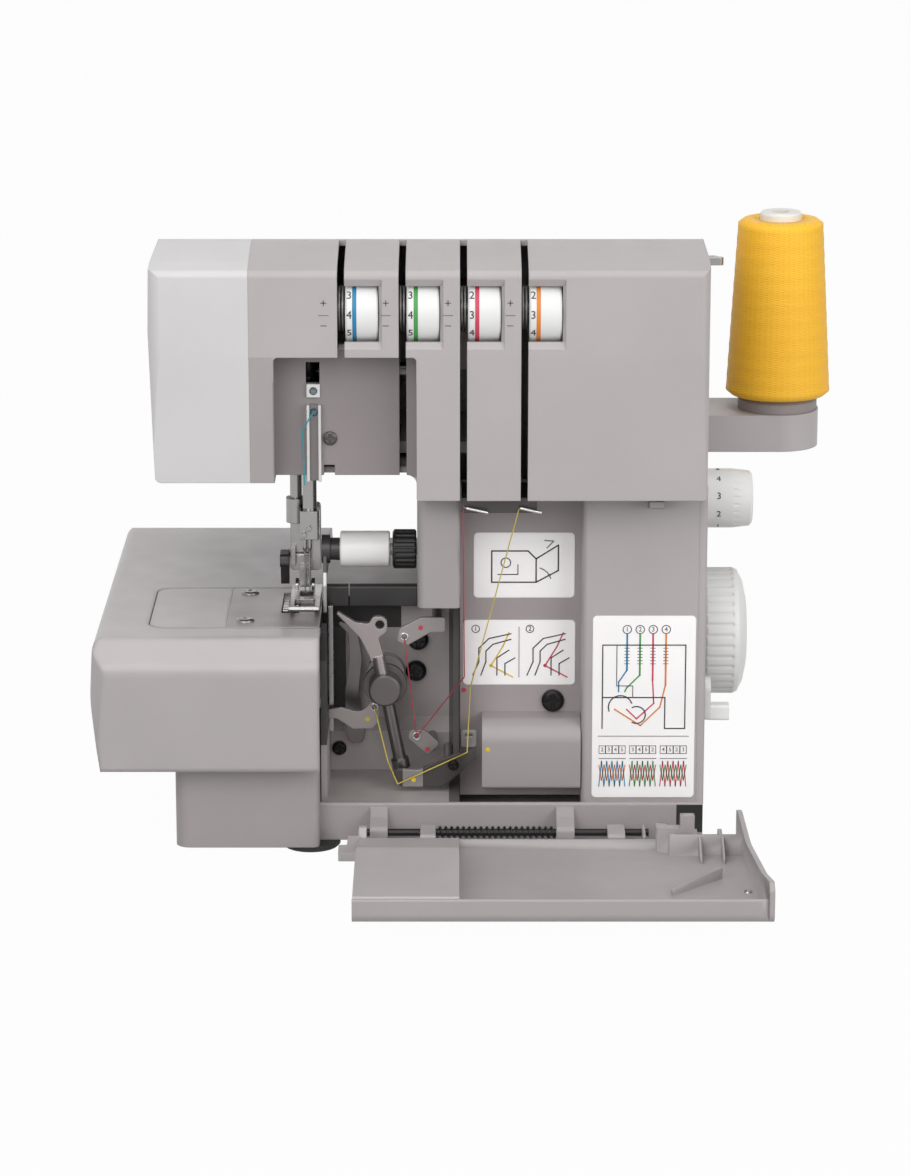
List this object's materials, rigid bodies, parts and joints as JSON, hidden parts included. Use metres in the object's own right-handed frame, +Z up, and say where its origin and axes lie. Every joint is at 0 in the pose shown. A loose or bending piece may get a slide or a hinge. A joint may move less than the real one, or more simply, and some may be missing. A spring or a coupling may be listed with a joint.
{
  "type": "serger overlock sewing machine",
  "caption": "Grey household overlock machine with its looper cover open, tension dials, free arm bed, trimming knife, loopers and a cone of yellow thread",
  "frame": {"origin": "on the table, under the middle of the machine's whole box with the looper cover open", "axes": "+X to the user's right along the front, +Y away from the user, +Z up"},
  "size_m": [0.3742, 0.3896, 0.2951],
  "materials": {
    "body_grey": "satin moulded light grey plastic",
    "face_white": "satin off-white plastic",
    "base_grey": "matt grey plastic",
    "rubber_black": "matt black rubber",
    "black_plastic": "satin black plastic",
    "cast_alloy": "cast alloy, as cast with machined faces",
    "steel_bright": "ground and polished steel",
    "spring_black": "blackened spring steel",
    "bronze": "plain bronze bush",
    "motor_dark": "dark painted motor can",
    "pad_grey": "soft grey plastic pad",
    "yarn": "wound polyester thread, warm yellow",
    "lamp_lens": "frosted lens"
  },
  "bodies": {
    "machine": {"base_pan": "base_grey", "bed_plate": "body_grey", "black_screws": "spring_black", "bushes": "bronze", "cone_pads": "pad_grey", "drive_belt": "rubber_black", "face_cover": "face_white", "free_arm": "body_grey", "front_panel": "body_grey", "head_cover": "body_grey", "head_thread_guide": "steel_bright", "looper_shaft_cover": "body_grey", "looper_thread_guides": "steel_bright", "lower_knife": "steel_bright", "main_casting": "cast_alloy", "motor": "motor_dark", "needle_plate": "steel_bright", "needle_thread_plates": "steel_bright", "pole_base_tube": "black_plastic", "power_inlet": "black_plastic", "presser_spring": "spring_black", "rear_cover": "body_grey", "right_side_cover": "body_grey", "rubber_feet": "rubber_black", "sewing_lamp": "lamp_lens", "spool_stand": "body_grey", "tension_rack": "steel_bright", "threads": "yarn"},
    "cover_rod": {"cover_hinge_rod": "steel_bright", "cover_spring": "spring_black"},
    "looper_cover": {"looper_cover": "body_grey", "chip_chute": "body_grey"},
    "handwheel_drive": {"handwheel": "face_white", "main_shaft": "steel_bright"},
    "motor_pulley": {"motor_pulley": "steel_bright"},
    "needle_bar": {"needle_bar": "steel_bright", "needle_clamp": "steel_bright"},
    "needle_lever": {"needle_lever": "steel_bright"},
    "looper_boss": {"looper_boss": "steel_bright"},
    "upper_looper": {"upper_looper": "steel_bright"},
    "lower_looper": {"lower_looper": "steel_bright"},
    "upper_knife": {"upper_knife": "steel_bright"},
    "knife_knob": {"knife_knob": "black_plastic"},
    "presser_lever": {"presser_lever": "black_plastic"},
    "presser_bar": {"presser_bar": "steel_bright"},
    "presser_foot": {"presser_foot": "steel_bright"},
    "foot_release_lever": {"foot_release_lever": "black_plastic"},
    "feed_dogs": {"feed_dogs": "steel_bright"},
    "stitch_length_dial": {"stitch_length_dial": "face_white"},
    "differential_lever": {"differential_lever": "face_white"},
    "power_switch": {"power_switch": "black_plastic"},
    "extension_table": {"extension_table": "body_grey"},
    "pole_middle_tube": {"pole_middle_tube": "steel_bright"},
    "pole_top_bar": {"pole_top_bar": "steel_bright"},
    "thread_cone": {"thread_cone": "yarn"},
    "tension_dial_left_needle": {"tension_dial_left_needle": "face_white"},
    "tension_dial_right_needle": {"tension_dial_right_needle": "face_white"},
    "tension_dial_upper_looper": {"tension_dial_upper_looper": "face_white"},
    "tension_dial_lower_looper": {"tension_dial_lower_looper": "face_white"}
  },
  "joints": [
    {"name": "cover_swing", "type": "hinge", "parent": "machine", "child": "cover_rod", "pos_m": [0.01412, -0.0427, 0.01], "axis": [-1, 0, 0], "range_deg": [0, 90]},
    {"name": "cover_unlock", "type": "slide", "parent": "cover_rod", "child": "looper_cover", "axis": [1, 0, 0], "range_m": [-0.009, 0]},
    {"name": "handwheel_turn", "type": "hinge", "parent": "machine", "child": "handwheel_drive", "pos_m": [0.08912, 0.0553, 0.086], "axis": [1, 0, 0], "continuous": true},
    {"name": "motor_turn", "type": "hinge", "parent": "machine", "child": "motor_pulley", "pos_m": [0.08912, 0.1053, 0.05], "axis": [1, 0, 0], "continuous": true},
    {"name": "needle_stroke", "type": "slide", "parent": "machine", "child": "needle_bar", "axis": [0, 0, 1], "range_m": [-0.012, 0.013]},
    {"name": "needle_lever_rock", "type": "hinge", "parent": "machine", "child": "needle_lever", "pos_m": [-0.07488, 0.0533, 0.221], "axis": [1, 0, 0], "range_deg": [-21, 19.5]},
    {"name": "looper_boss_swivel", "type": "hinge", "parent": "machine", "child": "looper_boss", "pos_m": [-0.04568, 0.0013, 0.071], "axis": [0, 1, 0], "range_deg": [-6.5, 6.5]},
    {"name": "upper_looper_slide", "type": "slide", "parent": "looper_boss", "child": "upper_looper", "axis": [-0.1942, 0, 0.981], "range_m": [-0.0055, 0.0055]},
    {"name": "lower_looper_swing", "type": "hinge", "parent": "machine", "child": "lower_looper", "pos_m": [-0.06088, 0.0233, 0.042], "axis": [0, 1, 0], "range_deg": [-8, 8]},
    {"name": "upper_knife_swing", "type": "hinge", "parent": "machine", "child": "upper_knife", "pos_m": [-0.05088, 0.0203, 0.1377], "axis": [1, 0, 0], "range_deg": [-7.5, 7.5]},
    {"name": "knife_knob_turn", "type": "hinge", "parent": "upper_knife", "child": "knife_knob", "pos_m": [-0.03588, 0.0203, 0.1377], "axis": [1, 0, 0], "range_deg": [0, 90]},
    {"name": "presser_bar_lift", "type": "slide", "parent": "machine", "child": "presser_bar", "axis": [0, 0, 1], "range_m": [0, 0.006], "deforming": ["presser_spring"]},
    {"name": "presser_lever_lift", "type": "hinge", "parent": "machine", "child": "presser_lever", "pos_m": [-0.07088, 0.0953, 0.203], "axis": [1, 0, 0], "range_deg": [0, 31]},
    {"name": "presser_foot_tilt", "type": "hinge", "parent": "presser_bar", "child": "presser_foot", "pos_m": [-0.08588, 0.0253, 0.119], "axis": [1, 0, 0], "range_deg": [-5, 0.8]},
    {"name": "foot_release_press", "type": "hinge", "parent": "presser_bar", "child": "foot_release_lever", "pos_m": [-0.09288, 0.0268, 0.133], "axis": [1, 0, 0], "range_deg": [0, 10], "stiffness_Nm_per_rad": 0.05},
    {"name": "feed_travel", "type": "slide", "parent": "machine", "child": "feed_dogs", "axis": [0, 1, 0], "range_m": [-0.002, 0.002]},
    {"name": "stitch_length_turn", "type": "hinge", "parent": "machine", "child": "stitch_length_dial", "pos_m": [0.11312, 0.0653, 0.1527], "axis": [1, 0, 0], "range_deg": [0, 270]},
    {"name": "differential_lever_swing", "type": "hinge", "parent": "machine", "child": "differential_lever", "pos_m": [0.11112, 0.0103, 0.07], "axis": [1, 0, 0], "range_deg": [-25, 25]},
    {"name": "power_switch_rock", "type": "hinge", "parent": "machine", "child": "power_switch", "pos_m": [0.11112, 0.1283, 0.071], "axis": [0, 1, 0], "range_deg": [-14, 0]},
    {"name": "extension_table_slide", "type": "slide", "parent": "machine", "child": "extension_table", "axis": [-1, 0, 0], "range_m": [0, 0.13]},
    {"name": "pole_middle_slide", "type": "slide", "parent": "machine", "child": "pole_middle_tube", "axis": [0, 0, 1], "range_m": [0, 0.115]},
    {"name": "pole_top_slide", "type": "slide", "parent": "pole_middle_tube", "child": "pole_top_bar", "axis": [0, 0, 1], "range_m": [0, 0.115]},
    {"name": "thread_cone_lift", "type": "slide", "parent": "machine", "child": "thread_cone", "axis": [0, 0, 1], "range_m": [0, 0.085]},
    {"name": "tension_turn_left_needle", "type": "hinge", "parent": "machine", "child": "tension_dial_left_needle", "pos_m": [-0.01088, -0.0192, 0.2669], "axis": [1, 0, 0], "range_deg": [-166, 133]},
    {"name": "tension_turn_right_needle", "type": "hinge", "parent": "machine", "child": "tension_dial_right_needle", "pos_m": [-0.01088, -0.0192, 0.2669], "axis": [1, 0, 0], "range_deg": [-166, 133]},
    {"name": "tension_turn_upper_looper", "type": "hinge", "parent": "machine", "child": "tension_dial_upper_looper", "pos_m": [-0.01088, -0.0192, 0.2669], "axis": [1, 0, 0], "range_deg": [-199, 99]},
    {"name": "tension_turn_lower_looper", "type": "hinge", "parent": "machine", "child": "tension_dial_lower_looper", "pos_m": [-0.01088, -0.0192, 0.2669], "axis": [1, 0, 0], "range_deg": [-199, 99]}
  ],
  "couplings": [
    {"joint": "motor_turn", "follows": "handwheel_turn", "ratio": 2.8889},
    {"joint": "needle_lever_rock", "follows": "needle_stroke", "rad_per_m": -26.9},
    {"joint": "looper_boss_swivel", "follows": "needle_stroke", "rad_per_m": 8},
    {"joint": "upper_looper_slide", "follows": "needle_stroke", "ratio": 0.4},
    {"joint": "lower_looper_swing", "follows": "needle_stroke", "rad_per_m": -10},
    {"joint": "upper_knife_swing", "follows": "needle_stroke", "rad_per_m": 9},
    {"joint": "presser_lever_lift", "follows": "presser_bar_lift", "rad_per_m": 87.266}
  ]
}
